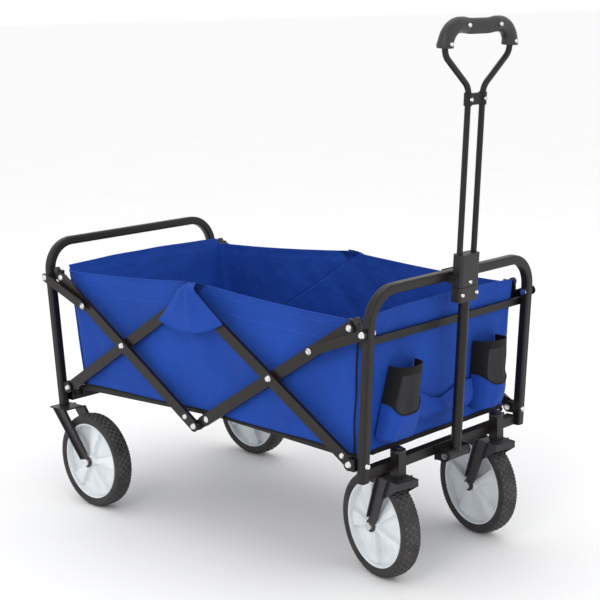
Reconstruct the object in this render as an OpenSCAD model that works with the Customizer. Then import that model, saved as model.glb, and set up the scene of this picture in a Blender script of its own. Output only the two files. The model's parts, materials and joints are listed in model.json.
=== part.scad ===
// Folding utility wagon: two leaning end frames joined by scissor bars, a fabric bag,
// four wheels (the front pair on swivel casters) and a telescoping pull handle.
// +X points forward to the pull handle, +Y left, +Z up. Origin on the floor, midway along
// the overall length from the rear rail to the grip.

/* [End frames] */
// Height of the lower scissor pivots above the floor
pivot_z = 244; // [240:1:250]
// Leg centre line to the lower pivot beside it
leg_offset = 24; // [23:0.5:26]
// Half the distance between the left and right legs
leg_y = 232; // [230:1:240]
// Outward lean of both end frames, degrees
lean = 4; // [2:0.5:5]
// Width of the square frame tube
tube_w = 18; // [17:1:19]
// Lower pivot to the top rail's centre line, along the leg
rail_rise = 309; // [300:1:320]
// Centre-line radius of the top corners
corner_r = 60; // [45:1:80]
// Height of the middle crossbar's centre
strap_z = 462; // [450:1:475]

/* [Scissor bars] */
// Slope of the bars when the wagon stands open, degrees
bar_angle = 31.7; // [31:0.1:32.5]
// Lower pivot to crossing point
reach_low = 232; // [228:1:236]
// Crossing point to centre joint
reach_mid = 248; // [244:1:252]
// Crossing point to upper corner bolt
reach_up = 227; // [220:1:229]
// Crossing point to the short link's stud
reach_link = 132; // [120:1:135]
// Height of a bar, across its length
bar_w = 22; // [20:1:22]
// Height of the short links' frame bolts
link_z = 482; // [480:1:486]

/* [Wheels] */
// Wheel radius
wheel_r = 100; // [98:0.5:100]
// Tyre width
tyre_w = 38; // [34:1:38]
// Distance of the rear axle from the origin
rear_axle_x = 324.5; // [320:0.5:330]
// Half the distance between the rear wheels
rear_wheel_y = 234; // [232:1:240]
// Half the distance between the front wheels
front_wheel_y = 147; // [140:1:150]
// Trail of the front casters
trail = 55; // [50:1:58]
// Swivel of both front casters as the wagon stands, degrees
caster_turn = -13; // [-20:1:0]

/* [Pull handle] */
// Handle pivot, distance forward of the origin
handle_x = 455; // [453:1:460]
// Height of the handle pivot
handle_z = 216; // [214:1:220]
// Half the distance between the sliding rods
rod_y = 20.5; // [20:0.5:21]
// Diameter of a sliding rod
rod_d = 11; // [10:0.5:11]
// Half the distance between the ends of the grip
grip_y = 92; // [84:1:94]
// Height of the grip's top bar above the handle pivot
grip_rise = 778; // [770:1:790]

/* [Bag] */
// Half the inside width of the bag
bag_y = 220.5; // [220:0.5:221]
// Height of the bag's bottom edge
bag_low = 252; // [250:1:256]
// Height of the bag's end panels' top edge
bag_high = 512; // [505:1:515]

/* [Hidden] */
$fn = 48;

// clearances and stock sizes
fit = 0.08;
bolt_r = 4;
tube_wall = 1.4;
bar_depth = 7.5;
sheet = 1.6;

// planes, measured outward from the wagon's middle
inner_plane = 225;
outer_plane = 233.5;
link_plane = 243.5;

// scissor geometry at rest
ca = cos(bar_angle);
sa = sin(bar_angle);
low_x = (reach_low + reach_mid) * ca;
cross_x = reach_mid * ca;
cross_z = pivot_z + reach_low * sa;
top_z = pivot_z + (reach_low + reach_mid) * sa;
knuckle_z = cross_z - reach_mid * sa;
corner_x = (reach_mid + reach_up) * ca;
corner_z = cross_z + reach_up * sa;
stud_x = (reach_mid + reach_link) * ca;
stud_z = cross_z + reach_link * sa;
leg_x = low_x + leg_offset;
function leg_x_at(z) = leg_x + (z - pivot_z) * tan(lean);

// lower crossbars and the parts welded to them
cross_bar = 20;
cross_bar_z = 222.5;
cross_bar_back = 11;
cross_bar_x = leg_x_at(cross_bar_z) - cross_bar_back;
front_face_x = cross_bar_x + cross_bar / 2;
stem_x = front_face_x + 10;
stem_r = 6;
housing_low = 203;
housing_high = 250;
fork_gap = 22;
fork_plate_z = 98;
rear_leg_low = wheel_r + fork_plate_z + 3;
front_leg_low = 212;

// floor rods
floor_pivot_x = low_x - 2.4;
floor_mid_z = pivot_z + 15;
floor_len = norm([floor_pivot_x, floor_mid_z - pivot_z]);
floor_angle = atan2(floor_mid_z - pivot_z, floor_pivot_x);
ear_y = leg_y - 33;
board_y = ear_y + 2.5;
pin_r = 3;
floor_rod_w = 5;
front_rod_y = ear_y + 3.5;
rear_rod_y = front_rod_y + floor_rod_w + 1;

// handle, measured along it from its pivot
tube_r = 10;
slider_low = 290;
slider_high = 317;
guide_high = 377;
clamp_low = 640;
clamp_high = 662;
grip_bend = 36;
grip_r = 14;
grip_low = grip_rise - grip_bend - 1.5;
bend_extra = 0.15;
loop_low = clamp_high + 9;
loop_high = grip_low - 12;
block_w = 54;
block_d = 23;

// screw heads
screw_r1 = 3.9;
screw_r2 = 3.2;
screw_out = 2;

// the origin is midway between the rear rail and the front of the grip
front_end = handle_x + (grip_rise + screw_r2) * sin(lean) + (grip_r + screw_out) * cos(lean);
rear_end = leg_x + (rail_rise + tube_w / 4) * sin(lean) + tube_w / 2 * cos(lean);
mid_x = (front_end - rear_end) / 2;

// ---------- placing helpers ----------
// shifts the wagon, drawn around its top centre joints, to the origin
module placed() {
    translate([-mid_x, 0, 0]) children();
}

module both_sides() {
    children();
    mirror([0, 1, 0]) children();
}

module on_front_frame() {
    translate([leg_x, 0, pivot_z]) rotate([0, lean, 0]) children();
}

module to_rear() {
    mirror([1, 0, 0]) children();
}

module along_y(x, z, y_from, y_to, r) {
    translate([x, y_from, z]) rotate([-90, 0, 0]) cylinder(r = r, h = y_to - y_from);
}

module along_x(x_from, x_to, y, z, r) {
    translate([x_from, y, z]) rotate([0, 90, 0]) cylinder(r = r, h = x_to - x_from);
}

// lays local X from point a to point b (each [x, z]), starting at height y
module lay_between(a, b, y) {
    translate([a.x, y, a.y]) rotate([0, -atan2(b.y - a.y, b.x - a.x), 0]) children();
}

module round_square(w, r) {
    square([w, w - 2 * r], center = true);
    square([w - 2 * r, w], center = true);
    for (x = [-1, 1], y = [-1, 1])
        translate([x * (w / 2 - r), y * (w / 2 - r)]) circle(r = r);
}

module tube_profile() {
    difference() {
        round_square(tube_w, 4.5);
        round_square(tube_w - 2 * tube_wall, 3.1);
    }
}

// ---------- fasteners ----------
// a bolt along Y: head outside at y_head, nut inside at y_nut
module bolt(x, z, y_nut, y_head, r = bolt_r, head = 3.2, nut = 3.4) {
    along_y(x, z, y_nut, y_head, r);
    translate([x, y_head, z]) rotate([-90, 0, 0]) cylinder(r1 = r + 2.4, r2 = r + 0.6, h = head);
    translate([x, y_nut, z]) rotate([90, 0, 0]) cylinder(r = r + 2, h = nut);
}

// the bolt along X through a leg that holds the pivot bracket, head clear of the leaning face
module leg_bolt() {
    r = 3;
    half = tube_w / 2 + 0.5;
    along_x(leg_x - half - 2, leg_x + half, leg_y, pivot_z, r);
    translate([leg_x + half, leg_y, pivot_z]) rotate([0, 90, 0])
        cylinder(r1 = r + 2.4, r2 = r + 1, h = 3);
}

// ---------- end frames ----------
module end_frame(leg_low) {
    difference() {
        on_front_frame() {
            both_sides() {
                translate([0, leg_y, -60]) linear_extrude(60 + rail_rise - corner_r) tube_profile();
                translate([0, leg_y - corner_r, rail_rise - corner_r]) rotate([90, 0, 90])
                    rotate_extrude(angle = 90) translate([corner_r, 0]) tube_profile();
            }
            translate([0, leg_y - corner_r, rail_rise]) rotate([90, 0, 0])
                linear_extrude(2 * (leg_y - corner_r)) tube_profile();
        }
        translate([leg_x - 50, -400, leg_low - 100]) cube([100, 800, 100]);
        both_sides() {
            along_x(leg_x - 30, leg_x + 60, leg_y, pivot_z, 3 + fit);
            along_y(leg_x_at(link_z), link_z, leg_y - 20, leg_y + 20, bolt_r + fit);
        }
    }
}

module lower_crossbar() {
    half = leg_y - tube_w / 2;
    translate([cross_bar_x, half, cross_bar_z]) rotate([90, 0, 0]) linear_extrude(2 * half)
        difference() {
            round_square(cross_bar, 2.5);
            round_square(cross_bar - 3, 1.2);
        }
    both_sides() floor_ear();
}

// upright ear that carries a floor rod
module floor_ear() {
    x = cross_bar_x - cross_bar / 2;
    y = ear_y;
    difference() {
        union() {
            translate([x - 3, y, pivot_z - 22]) cube([3, 16.3, 14]);
            translate([floor_pivot_x - 6, y, pivot_z - 22]) cube([x + 6 - floor_pivot_x, 3, 22]);
            along_y(floor_pivot_x, pivot_z, y, y + 3, 7);
        }
        along_y(floor_pivot_x, pivot_z, y - 1, y + 8, pin_r + fit);
    }
}

module middle_crossbar() {
    on_front_frame() translate([-tube_w / 2 - 5, -238, (strap_z - pivot_z) / cos(lean) - 7])
        cube([5, 476, 14]);
}

// U bracket on a leg; the bar's eye turns between its two cheeks
module pivot_bracket(plane) {
    face = leg_x_at(pivot_z) - tube_w / 2 - 1.3;
    low = plane - 4;
    high = plane + bar_depth + 1;
    difference() {
        union() {
            translate([face - 2.4, low, pivot_z - 11]) cube([2.4, high + 3 - low, 22]);
            for (y = [low, high]) {
                translate([low_x, y, pivot_z - 11]) cube([face - 2 - low_x, 3, 22]);
                along_y(low_x, pivot_z, y, y + 3, 11.5);
            }
        }
        along_y(low_x, pivot_z, low - 1, high + 4, bolt_r + fit);
        along_x(face - 4, face + 1, leg_y, pivot_z, 3 + fit);
    }
}

module pivot_bolt(plane) {
    bolt(low_x, pivot_z, plane - 4, plane + bar_depth + 4);
}

// pin through a floor ear and the eye of its rod
module floor_pin(rod_from) {
    bolt(floor_pivot_x, pivot_z, ear_y, rod_from + floor_rod_w + 0.1, pin_r);
}

module link_bolt() {
    x = leg_x_at(link_z);
    bolt(x, link_z, leg_y - tube_w / 2, link_plane + 6.3);
}

// ---------- scissor bars: folded channels with the web outside ----------
module bar_blank(len, w = bar_w, depth = bar_depth, tail = 0) {
    translate([0, depth - sheet, 0]) {
        along_y(0, 0, 0, sheet, w / 2);
        along_y(len, 0, 0, sheet, w / 2);
        translate([0, 0, -w / 2]) cube([len, sheet, w]);
    }
    for (z = [-w / 2, w / 2 - sheet]) translate([tail, 0, z]) cube([len - 2 * tail, depth, sheet]);
}

module bar(a, b, y, holes, w = bar_w, depth = bar_depth, tail = 0) {
    lay_between(a, b, y) difference() {
        bar_blank(norm(b - a), w, depth, tail);
        for (h = holes) along_y(h, 0, -1, depth + 1, bolt_r + fit);
    }
}

low_p = [low_x, pivot_z];
top_p = [0, top_z];
knuckle_p = [0, knuckle_z];
corner_p = [corner_x, corner_z];
cross_p = [cross_x, cross_z];
stud_p = [stud_x, stud_z];

// from the lower pivot up to the top centre joint
module rising_bar(plane) {
    bar(low_p, top_p, plane, [0, reach_low, reach_low + reach_mid], tail = 13);
}

// from the bottom centre joint up to the corner beside the leg
module falling_bar(plane, start, extra) {
    from = knuckle_p + (corner_p - knuckle_p) * start / (reach_mid + reach_up);
    bar(from, corner_p, plane,
        concat(extra, [reach_mid - start, reach_mid + reach_up - start]), tail = 3);
}

module cross_bolt() {
    bolt(cross_x, cross_z, inner_plane + bar_depth - sheet, outer_plane + bar_depth + 0.3);
}

// moulded corner piece nested in a bar's upper end, carrying the bag's corner
module corner_clip(plane) {
    depth = bar_depth - sheet;
    difference() {
        union() {
            lay_between(cross_p, corner_p, plane)
                translate([reach_up - 26, 0, -bar_w / 2 + sheet])
                    cube([36, depth, bar_w - 2 * sheet]);
            translate([corner_x - 4, plane - 1.5, corner_z - 6]) cube([27, depth - 1, 22]);
            along_y(corner_x + 16, corner_z + 14, plane - 1.5, plane + depth, 7);
        }
        along_y(corner_x, corner_z, plane - 8, plane + 20, bolt_r + fit);
        lay_between(cross_p, corner_p, plane) for (z = [-bar_w / 2, bar_w / 2 - sheet])
            translate([0, 0, z]) cube([reach_up, bar_depth, sheet]);
    }
}

module clip_bolt(plane) {
    web = plane + bar_depth;
    along_y(corner_x, corner_z, plane - 2, web, bolt_r);
    translate([corner_x, web, corner_z]) rotate([-90, 0, 0])
        cylinder(r1 = bolt_r + 2.4, r2 = bolt_r + 0.6, h = 2);
}

module end_rivet(p, plane) {
    web = plane + bar_depth;
    translate([p.x, web, p.y]) rotate([-90, 0, 0]) cylinder(r1 = 5.4, r2 = 4, h = 2.2);
}

// short link from the leg to the stud on the falling bar
module short_link() {
    lay_between([leg_x_at(link_z), link_z], stud_p, link_plane) {
        len = norm([leg_x_at(link_z) - stud_x, link_z - stud_z]);
        difference() {
            bar_blank(len, 18, 6, 10);
            along_y(0, 0, -1, 7, bolt_r + fit);
        }
        translate([len, 6, 0]) rotate([-90, 0, 0]) cylinder(r1 = 6.2, r2 = 4.6, h = 3);
    }
}

// ---------- floor ----------
// one side rod: local X from the ear's pivot to the middle of the floor
module floor_half(rod_from, slats) {
    rod_w = floor_rod_w;
    translate([floor_pivot_x, 0, pivot_z]) rotate([0, 180 + floor_angle, 0]) both_sides() {
        difference() {
            union() {
                translate([0, rod_from, -5]) cube([floor_len, rod_w, 10]);
                along_y(0, 0, rod_from, rod_from + rod_w, 5);
                along_y(floor_len, 0, rod_from, rod_from + rod_w, 7);
            }
            along_y(0, 0, rod_from - 1, rod_from + rod_w + 1, pin_r + fit);
        }
        for (s = slats) translate([s, 0, 1]) cube([12, rod_from, 4]);
    }
}

module floor_board() {
    translate([floor_pivot_x, 0, pivot_z]) rotate([0, 180 + floor_angle, 0])
        translate([24, -board_y, -5]) cube([floor_len - 66, 2 * board_y, 6]);
}

// ---------- wheels ----------
module at_axle(x, y) {
    translate([x, y, wheel_r]) children();
}

module tyre() {
    r_in = wheel_r - 19;
    edge = 8;
    rotate([90, 0, 0]) rotate_extrude() {
        translate([r_in, -tyre_w / 2 + 2]) square([wheel_r - edge - r_in, tyre_w - 4]);
        translate([wheel_r - edge - 6, -tyre_w / 2]) square([6, tyre_w]);
        translate([r_in, -tyre_w / 2 + edge]) square([wheel_r - r_in, tyre_w - 2 * edge]);
        for (s = [-1, 1]) translate([wheel_r - edge, s * (tyre_w / 2 - edge)]) circle(r = edge);
    }
}

// one spoke's outline, flaring towards the rim
function spoke(r) = [[8, -6], [r, -17], [r, 17], [8, 6]];

module wheel_centre() {
    r_rim = wheel_r - 19;
    rotate([90, 0, 0]) rotate([0, 0, 45]) difference() {
        union() {
            difference() {
                cylinder(r = r_rim, h = 34, center = true);
                cylinder(r = r_rim - 4, h = 40, center = true);
            }
            cylinder(r = r_rim - 2, h = 8, center = true);
            cylinder(r = 13, h = 40, center = true);
            for (i = [0 : 4]) rotate([0, 0, i * 72 - 27])
                linear_extrude(22, center = true) polygon(spoke(r_rim - 3));
        }
        cylinder(r = bolt_r + fit, h = 60, center = true);
    }
}

module axle() {
    rotate([90, 0, 0]) {
        translate([0, 0, -fork_gap - 6]) cylinder(r = bolt_r, h = 2 * fork_gap + 12);
        for (s = [-1, 1]) translate([0, 0, s * (fork_gap + 5.2)]) cylinder(r = 7.5, h = 5.2, center = true);
    }
}

// pressed fork: two tapering cheeks with folded edges under a top plate
module fork(top_x, top_half, plate_from, plate_to) {
    plate_top = fork_plate_z + 3;
    dir = [top_x, fork_plate_z - 6] / norm([top_x, fork_plate_z - 6]);
    side = [dir.y, -dir.x] * 9;
    out = [[top_x - top_half, plate_top + 20], [top_x + top_half, plate_top + 20], side, -side];
    translate([plate_from, -fork_gap - 2.6, fork_plate_z])
        cube([plate_to - plate_from, 2 * fork_gap + 5.2, 3]);
    both_sides() translate([0, fork_gap, 0]) difference() {
        union() {
            translate([0, 2.6, 0]) rotate([90, 0, 0]) linear_extrude(2.6) polygon(out);
            along_y(0, 0, 0, 2.6, 12);
            lay_between(out[3], out[0], 0) translate([14, 0, -0.6]) cube([norm(out[0] - out[3]), 7.5, 2.6]);
            lay_between(out[2], out[1], 0) translate([14, 0, -2]) cube([norm(out[1] - out[2]), 7.5, 2.6]);
        }
        along_y(0, 0, -1, 9, bolt_r + fit);
        translate([-200, -1, plate_top]) cube([400, 20, 100]);
    }
}

// places a caster's parts, drawn around its axle, at the swivel of the standing wagon
module at_caster(y) {
    translate([stem_x, y, wheel_r]) rotate([0, 0, caster_turn]) translate([-trail, 0, 0]) children();
}

module caster_fork() {
    plate_top = fork_plate_z + 3;
    lip = trail + 26.8;
    gusset = [[trail, plate_top - 1], [lip, plate_top - 1], [lip, plate_top - 13], [trail - 20, 58]];
    fork(trail - 5, 16, trail - 24, trail + 27);
    both_sides() translate([0, fork_gap + 2.3, 0]) rotate([90, 0, 0])
        linear_extrude(2) polygon(gusset);
    translate([lip - 2.4, -fork_gap - 1.5, plate_top - 13.5]) cube([2.2, 2 * fork_gap + 3, 12.5]);
    translate([trail, 0, plate_top - 1]) cylinder(r = 12, h = 2.4);
    translate([trail, 0, plate_top]) cylinder(r = stem_r, h = housing_high - wheel_r - plate_top - 4);
}

// ---------- handle ----------
module on_handle() {
    translate([handle_x, 0, handle_z]) rotate([0, lean, 0]) children();
}

module block(low, high) {
    w = block_w;
    d = block_d;
    r = 6;
    translate([0, 0, low]) linear_extrude(high - low) {
        square([d, w - 2 * r], center = true);
        square([d - 2 * r, w], center = true);
        for (x = [-1, 1], y = [-1, 1]) translate([x * (d / 2 - r), y * (w / 2 - r)]) circle(r = r);
    }
}

// a rod in the handle's own plane, from a to b (each [y, z])
module rod_between(a, b) {
    translate([0, a.x, a.y]) rotate([-atan2(b.x - a.x, b.y - a.y), 0, 0])
        cylinder(r = rod_d / 2, h = norm(b - a));
}

// left half of the sliding rod: two welded corners, then the bend inside the grip, which is
// a little stouter than the straights that lap into it
module rod_half() {
    low = [rod_y, loop_low];
    high = [grip_y, loop_high];
    bend_z = grip_rise - grip_bend;
    rod_between([rod_y, slider_low + 6], low);
    rod_between(low, high);
    rod_between(high, [grip_y, bend_z + 1]);
    for (c = [low, high]) translate([0, c.x, c.y]) sphere(r = rod_d / 2 + 0.7);
    translate([0, grip_y - grip_bend, bend_z]) rotate([90, 0, 90])
        rotate_extrude(angle = 90) translate([grip_bend, 0]) circle(r = rod_d / 2 + bend_extra);
}

// sweeps a profile up the grip's left end, round its corner and half way along the top
module grip_sweep(start) {
    high = grip_rise - grip_bend;
    translate([0, grip_y, start]) linear_extrude(high - start) rotate([0, 0, 90]) children();
    translate([0, grip_y - grip_bend, high]) rotate([90, 0, 90])
        rotate_extrude(angle = 90) translate([grip_bend, 0]) children();
    translate([0, 0, grip_rise]) rotate([-90, -90, 0]) linear_extrude(grip_y - grip_bend) children();
}

// ---------- nodes: rear frame ----------
module rear_frame_tube() { color("#3a3638") placed() to_rear() end_frame(rear_leg_low); }
module rear_lower_crossbar() { color("#3a3638") placed() to_rear() lower_crossbar(); }
module rear_middle_crossbar() { color("#2c2a2b") placed() to_rear() middle_crossbar(); }
module rear_pivot_brackets() { color("#2c2a2b") placed() to_rear() both_sides() pivot_bracket(inner_plane); }
module rear_frame_bolts() {
    color("silver") placed() to_rear() both_sides() {
        pivot_bolt(inner_plane);
        floor_pin(rear_rod_y);
        link_bolt();
        leg_bolt();
    }
}
module rear_forks() {
    color("#3a3638") placed() for (s = [-1, 1]) at_axle(-rear_axle_x, s * rear_wheel_y)
        fork(-102.5, 18, -121, -70);
}
module rear_axles() { color("silver") placed() for (s = [-1, 1]) at_axle(-rear_axle_x, s * rear_wheel_y) axle(); }

// ---------- nodes: bag ----------
module end_panel() {
    on_front_frame() translate([-tube_w / 2 - 9, -214, (bag_low - pivot_z) / cos(lean)])
        cube([4, 428, (bag_high - bag_low) / cos(lean)]);
}
module side_panel() {
    low = low_x - 28;
    high = leg_x_at(497) - 22;
    translate([0, bag_y + 2, 0]) rotate([90, 0, 0]) linear_extrude(2)
        polygon([[-low, bag_low], [low, bag_low], [high, 498], [0, 517], [-high, 498]]);
}
module rear_bag_panel() { color("royalblue") placed() to_rear() end_panel(); }
module front_bag_panel() { color("royalblue") placed() end_panel(); }
module left_bag_panel() { color("royalblue") placed() side_panel(); }
module right_bag_panel() { color("royalblue") placed() mirror([0, 1, 0]) side_panel(); }

// fan-shaped flaps that hang over the top centre joints
module joint_flaps() {
    half = 86;
    drop = top_z - 72;
    color("royalblue") placed() both_sides() translate([0, 249.5, 0]) rotate([90, 0, 0]) linear_extrude(2)
        polygon(concat([[-10, 517], [-half, drop + 30]],
            [for (i = [-4 : 4]) [i * 17, drop + 30 * pow(abs(i * 17 / half), 2)]],
            [[half, drop + 30], [10, 517]]));
}

// open-topped pouch on the front panel
module cup_pocket() {
    low = 30;
    high = 170;
    y0 = 78;
    y1 = 206;
    deep = 44;
    r = 20;
    on_front_frame() translate([-tube_w / 2 - 5, 0, low]) difference() {
        pouch(y0, y1, deep, r, 0, high - low);
        pouch(y0 + 2.5, y1 - 2.5, deep - 2.5, r - 2.5, 3, high - low + 1);
    }
}
module pouch(y0, y1, deep, r, low, high) {
    translate([0, y0, low]) cube([deep - r, y1 - y0, high - low]);
    translate([0, y0 + r, low]) cube([deep, y1 - y0 - 2 * r, high - low]);
    for (y = [y0 + r, y1 - r]) translate([deep - r, y, low]) cylinder(r = r, h = high - low);
}
module left_cup_pocket() { color("#15151a") placed() cup_pocket(); }
module right_cup_pocket() { color("#15151a") placed() mirror([0, 1, 0]) cup_pocket(); }

// ---------- nodes: front frame ----------
module front_frame_tube() { color("#3a3638") placed() end_frame(front_leg_low); }
module front_lower_crossbar() { color("#3a3638") placed() lower_crossbar(); }
module front_middle_crossbar() { color("#2c2a2b") placed() middle_crossbar(); }
module front_pivot_brackets() { color("#2c2a2b") placed() both_sides() pivot_bracket(outer_plane); }
module front_frame_bolts() {
    color("silver") placed() {
        both_sides() {
            pivot_bolt(outer_plane);
            floor_pin(front_rod_y);
            link_bolt();
            leg_bolt();
        }
        bolt(handle_x, handle_z, -31.5, 31.5);
    }
}
module caster_housings() {
    color("#3a3638") placed() both_sides() difference() {
        translate([stem_x - 10, front_wheel_y - 10, housing_low]) cube([20, 20, housing_high - housing_low]);
        translate([stem_x, front_wheel_y, housing_low - 1]) cylinder(r = stem_r + fit, h = 60);
    }
}
module caster_caps() {
    color("#202020") placed() both_sides() translate([stem_x, front_wheel_y, housing_high]) {
        cylinder(r = 14, h = 5);
        cylinder(r = 9, h = 9, $fn = 6);
    }
}
module handle_clevis() {
    color("#2c2a2b") placed() difference() {
        union() {
            translate([front_face_x, -31.5, handle_z - 12]) cube([3, 63, 26]);
            both_sides() {
                translate([front_face_x, 28.5, handle_z - 11]) cube([handle_x - front_face_x, 3, 22]);
                along_y(handle_x, handle_z, 28.5, 31.5, 11);
            }
        }
        along_y(handle_x, handle_z, -40, 40, bolt_r + fit);
    }
}

// clip on the top rail: a saddle under and behind the rail, and two arms beside the guide block
module rail_clip() {
    reach = 30;
    color("#202020") placed() on_front_frame() translate([0, 0, rail_rise]) {
        difference() {
            translate([-tube_w / 2 - 3, -24, -tube_w / 2 - 3]) cube([tube_w + 6, 48, tube_w + 3]);
            translate([-tube_w / 2 - 0.05, -30, -tube_w / 2 - 0.05]) cube([tube_w + 0.1, 60, tube_w + 10]);
        }
        both_sides() translate([tube_w / 2 + 0.5, block_w / 2 + 0.6, -12])
            cube([reach - tube_w / 2, 3, 15]);
        both_sides() translate([tube_w / 2 + 0.5, 20, -12]) cube([2.4, block_w / 2 - 17, 12]);
    }
}

// ---------- nodes: scissor bars ----------
module rear_lower_bars() { color("#3f3b3d") placed() to_rear() both_sides() rising_bar(inner_plane); }
module front_lower_bars() { color("#3f3b3d") placed() both_sides() rising_bar(outer_plane); }
module rear_upper_bars() { color("#3f3b3d") placed() to_rear() both_sides() difference() {
    falling_bar(outer_plane, 0, []);
    along_y(0, knuckle_z, outer_plane - 1, outer_plane + 9, bolt_r + 0.6);
} }
module front_upper_bars() { color("#3f3b3d") placed() both_sides() falling_bar(inner_plane, 20, [12]); }
module rear_cross_bolts() {
    color("silver") placed() both_sides() {
        to_rear() cross_bolt();
        bolt(0, top_z, inner_plane + bar_depth - sheet, outer_plane + bar_depth + 0.3);
    }
}
module front_cross_bolts() {
    color("silver") placed() both_sides() {
        translate([cross_x, outer_plane + bar_depth, cross_z]) rotate([-90, 0, 0])
            cylinder(r1 = bolt_r + 2.4, r2 = bolt_r + 0.6, h = 3.2);
        along_y(cross_x, cross_z, inner_plane + 0.5, outer_plane + bar_depth, bolt_r);
        end_rivet(low_p + (cross_p - low_p) * 22 / reach_low, outer_plane);
    }
}
module rear_bar_bolts() {
    color("silver") placed() to_rear() both_sides() {
        clip_bolt(outer_plane);
        end_rivet(knuckle_p + (corner_p - knuckle_p) * 29 / (reach_mid + reach_up), outer_plane);
    }
}
module front_bar_bolts() {
    at = knuckle_p + (corner_p - knuckle_p) * 32 / (reach_mid + reach_up);
    color("silver") placed() both_sides() {
        clip_bolt(inner_plane);
        bolt(at.x, at.y, inner_plane - 0.5, inner_plane + bar_depth, 3.9, head = 0.8, nut = 1.6);
        bolt(0, knuckle_z, inner_plane - 0.5, outer_plane + bar_depth + 0.4, 3.9);
    }
}
module rear_corner_clips() { color("#18181a") placed() to_rear() both_sides() corner_clip(outer_plane); }
module front_corner_clips() { color("#18181a") placed() both_sides() corner_clip(inner_plane); }

// tongue fixed in the lower end of each front falling bar, reaching the bottom centre pivot
module bottom_knuckles() {
    depth = bar_depth - sheet;
    color("#18181a") placed() both_sides() lay_between(knuckle_p, corner_p, inner_plane - 0.5) difference() {
        union() {
            along_y(0, 0, 0, depth + 0.5, 10);
            translate([0, 0, -bar_w / 2 + sheet]) cube([52, depth + 0.5, bar_w - 2 * sheet]);
        }
        along_y(0, 0, -1, depth + 1, bolt_r + fit);
        along_y(32, 0, -1, depth + 1, bolt_r + fit);
    }
}
module rear_links() { color("#3f3b3d") placed() to_rear() both_sides() short_link(); }
module front_links() { color("#3f3b3d") placed() both_sides() short_link(); }

// ---------- nodes: floor ----------
module rear_floor_rods() { color("#2c2a2b") placed() to_rear() floor_half(rear_rod_y, [30, 330]); }
module front_floor_rods() { color("#2c2a2b") placed() floor_half(front_rod_y, [30, 330]); }
module rear_floor_board() { color("#1c2c66") placed() to_rear() floor_board(); }
module front_floor_board() { color("#1c2c66") placed() floor_board(); }

// ---------- nodes: casters and wheels ----------
module left_caster_fork() { color("#3a3638") placed() at_caster(front_wheel_y) caster_fork(); }
module right_caster_fork() { color("#3a3638") placed() at_caster(-front_wheel_y) caster_fork(); }
module left_caster_axle() { color("silver") placed() at_caster(front_wheel_y) axle(); }
module right_caster_axle() { color("silver") placed() at_caster(-front_wheel_y) axle(); }
module rear_left_wheel() { color("#dfe3e8") placed() at_axle(-rear_axle_x, rear_wheel_y) wheel_centre(); }
module rear_right_wheel() { color("#dfe3e8") placed() at_axle(-rear_axle_x, -rear_wheel_y) wheel_centre(); }
module front_left_wheel() { color("#dfe3e8") placed() at_caster(front_wheel_y) wheel_centre(); }
module front_right_wheel() { color("#dfe3e8") placed() at_caster(-front_wheel_y) wheel_centre(); }
module rear_left_tyre() { color("#26262a") placed() at_axle(-rear_axle_x, rear_wheel_y) tyre(); }
module rear_right_tyre() { color("#26262a") placed() at_axle(-rear_axle_x, -rear_wheel_y) tyre(); }
module front_left_tyre() { color("#26262a") placed() at_caster(front_wheel_y) tyre(); }
module front_right_tyre() { color("#26262a") placed() at_caster(-front_wheel_y) tyre(); }

// ---------- nodes: pull handle ----------
module handle_lower_tube() {
    color("#3a3638") placed() on_handle() difference() {
        union() {
            along_y(0, 0, -28, 28, 10.5);
            cylinder(r = tube_r, h = guide_high - 20);
        }
        along_y(0, 0, -30, 30, bolt_r + fit);
        translate([0, 0, 14]) cylinder(r = tube_r - 1.4, h = guide_high);
    }
}
module handle_guide_block() {
    color("#18181a") placed() on_handle() difference() {
        block(slider_high + 1, guide_high);
        translate([0, 0, slider_high]) cylinder(r = tube_r + 0.05, h = guide_high - 20 - slider_high);
        both_sides() translate([0, rod_y, slider_high - 1]) cylinder(r = rod_d / 2 + 0.3, h = 100);
    }
}
module handle_slider_block() {
    color("#18181a") placed() on_handle() difference() {
        block(slider_low, slider_high);
        translate([0, 0, slider_low - 1]) cylinder(r = tube_r + 0.3, h = 60);
        both_sides() translate([0, rod_y, slider_low + 6]) cylinder(r = rod_d / 2 + 0.05, h = 60);
    }
}
module handle_rods() {
    top = grip_y - grip_bend + 1;
    color("#3a3638") placed() on_handle() {
        both_sides() rod_half();
        along_y(0, grip_rise, -top, top, rod_d / 2);
    }
}
module handle_rod_clamp() {
    color("#2c2a2b") placed() on_handle() difference() {
        union() {
            both_sides() translate([0, rod_y, clamp_low]) cylinder(r = rod_d / 2 + 2.2, h = clamp_high - clamp_low);
            translate([-4, -rod_y, clamp_low + 1]) cube([8, 2 * rod_y, clamp_high - clamp_low - 2]);
        }
        both_sides() translate([0, rod_y, clamp_low - 1]) cylinder(r = rod_d / 2 + 0.05, h = 40);
    }
}
module handle_grip() {
    color("#222226") placed() on_handle() both_sides() for (side = [0, 1])
        grip_sweep(grip_low) mirror([0, side]) difference() {
            circle(r = grip_r);
            circle(r = rod_d / 2 + bend_extra + 0.1);
            translate([-50, -50]) square([100, 50.1]);
        }
}
// domed screw head facing forward, just clear of the surface at x
module screw(x, y, z) {
    gap = 0.03;
    translate([x + gap, y, z]) rotate([0, 90, 0])
        cylinder(r1 = screw_r1, r2 = screw_r2, h = screw_out - gap);
}
module handle_guide_screw() {
    color("silver") placed() on_handle() screw(block_d / 2, 0, slider_high + 9);
}
module handle_screws() {
    color("silver") placed() on_handle() {
        both_sides() {
            screw(block_d / 2, rod_y, slider_low + 14);
            screw(rod_d / 2 + 2.2, rod_y, clamp_low + 11);
            screw(grip_r, 45, grip_rise);
            screw(grip_r, grip_y, grip_low + 7);
        }
    }
}

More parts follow.
